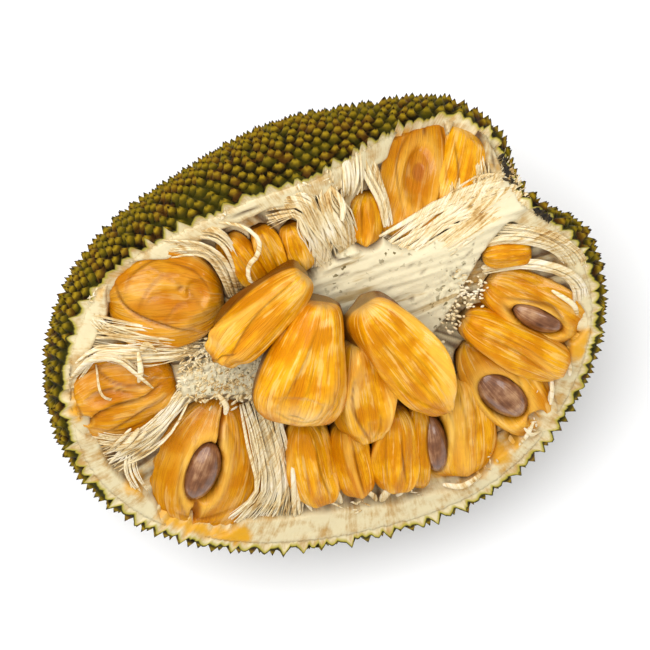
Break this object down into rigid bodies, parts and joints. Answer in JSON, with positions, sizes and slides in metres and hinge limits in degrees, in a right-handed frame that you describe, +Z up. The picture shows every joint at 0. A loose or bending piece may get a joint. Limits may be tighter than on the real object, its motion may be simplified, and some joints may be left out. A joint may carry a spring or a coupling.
{
  "type": "cut-open jackfruit",
  "caption": "A jackfruit cut open lengthwise: spiny green rind, white core and fibres, golden fleshy bulbs with brown seeds, and loose bulbs lying on the cut face.",
  "frame": {"origin": "on the floor under the middle of the bounding box, in the flat resting spot", "axes": "+X runs along the core from the tail to the stalk, +Z is up, and the cut face leans forward towards -Y, 38 degrees from level"},
  "size_m": [0.2998, 0.2226, 0.2021],
  "materials": {
    "husk": "matte",
    "bulb_flesh": "satin",
    "seed_coat": "satin"
  },
  "bodies": {
    "root": {"bulb_deep_small": "bulb_flesh", "bulb_low_1": "bulb_flesh", "bulb_low_2": "bulb_flesh", "bulb_low_3": "bulb_flesh", "bulb_low_seeded": "bulb_flesh", "bulb_low_split": "bulb_flesh", "bulb_low_thin_1": "bulb_flesh", "bulb_low_thin_2": "bulb_flesh", "bulb_shoulder_neighbour": "bulb_flesh", "bulb_shoulder_pitted": "bulb_flesh", "bulb_side_hooked": "bulb_flesh", "bulb_stalk_arched": "bulb_flesh", "bulb_stalk_small": "bulb_flesh", "bulb_stalk_whole": "bulb_flesh", "bulb_tail_folded": "bulb_flesh", "bulb_upper_opened": "bulb_flesh", "bulb_upper_slim_1": "bulb_flesh", "bulb_upper_slim_2": "bulb_flesh", "bulb_upper_slim_3": "bulb_flesh", "husk": "husk", "loose_bulb_left": "bulb_flesh", "loose_bulb_middle": "bulb_flesh", "loose_bulb_right": "bulb_flesh", "loose_bulb_under": "bulb_flesh", "seed_low": "seed_coat", "seed_side": "seed_coat", "seed_stalk": "seed_coat", "seed_tail": "seed_coat"}
  },
  "joints": []
}
